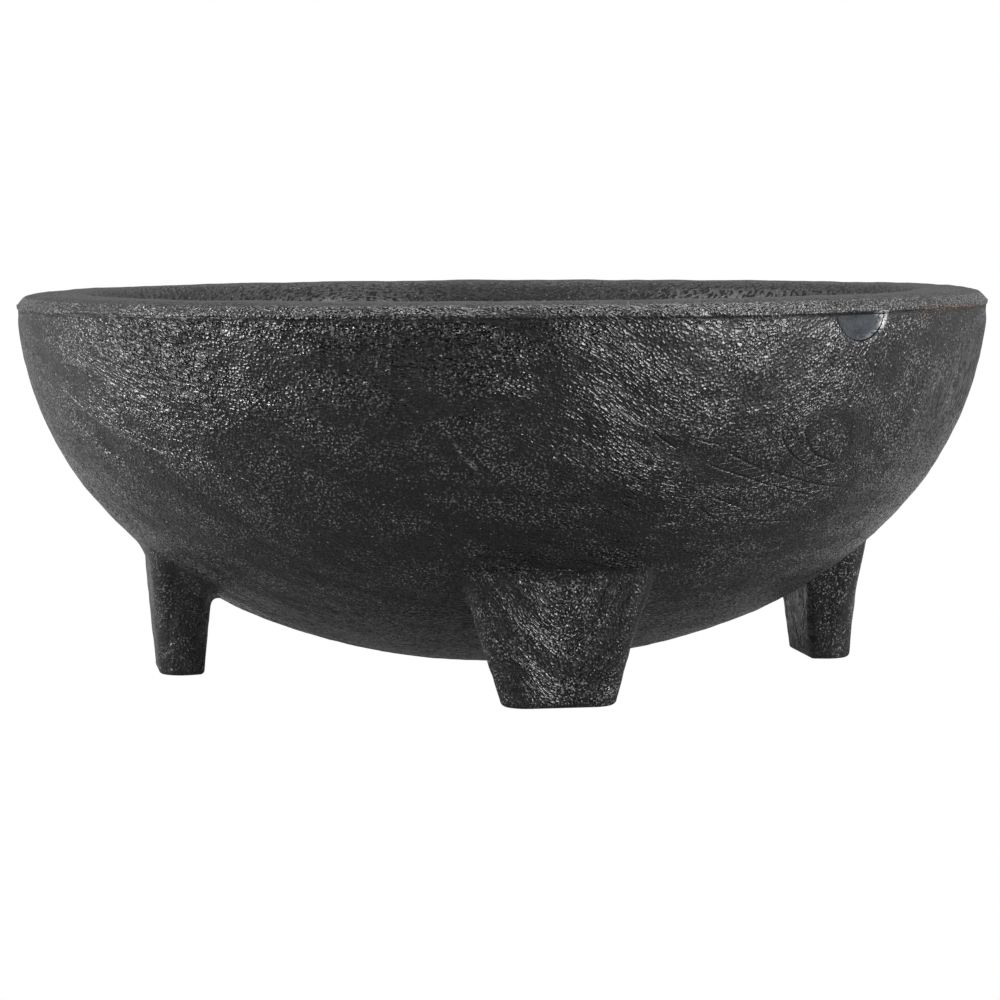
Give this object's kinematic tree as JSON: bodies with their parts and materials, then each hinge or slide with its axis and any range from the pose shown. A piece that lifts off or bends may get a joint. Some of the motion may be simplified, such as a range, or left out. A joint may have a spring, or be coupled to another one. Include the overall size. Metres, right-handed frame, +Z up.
{
  "type": "molcajete serving bowl",
  "caption": "Wide, shallow stone-look serving molcajete with a bevelled rim, standing on short tapering block legs.",
  "frame": {"origin": "on the table, under the middle of the bowl", "axes": "+Z up along the bowl's axis; -Y through the front leg, +X through the right leg"},
  "size_m": [0.254, 0.254, 0.0988],
  "materials": {
    "stone_black": "rough stone-look moulding, charcoal black with fine pale sparkle"
  },
  "bodies": {
    "root": {"bowl": "stone_black", "leg_front": "stone_black", "leg_right": "stone_black", "leg_back": "stone_black", "leg_left": "stone_black"}
  },
  "joints": []
}
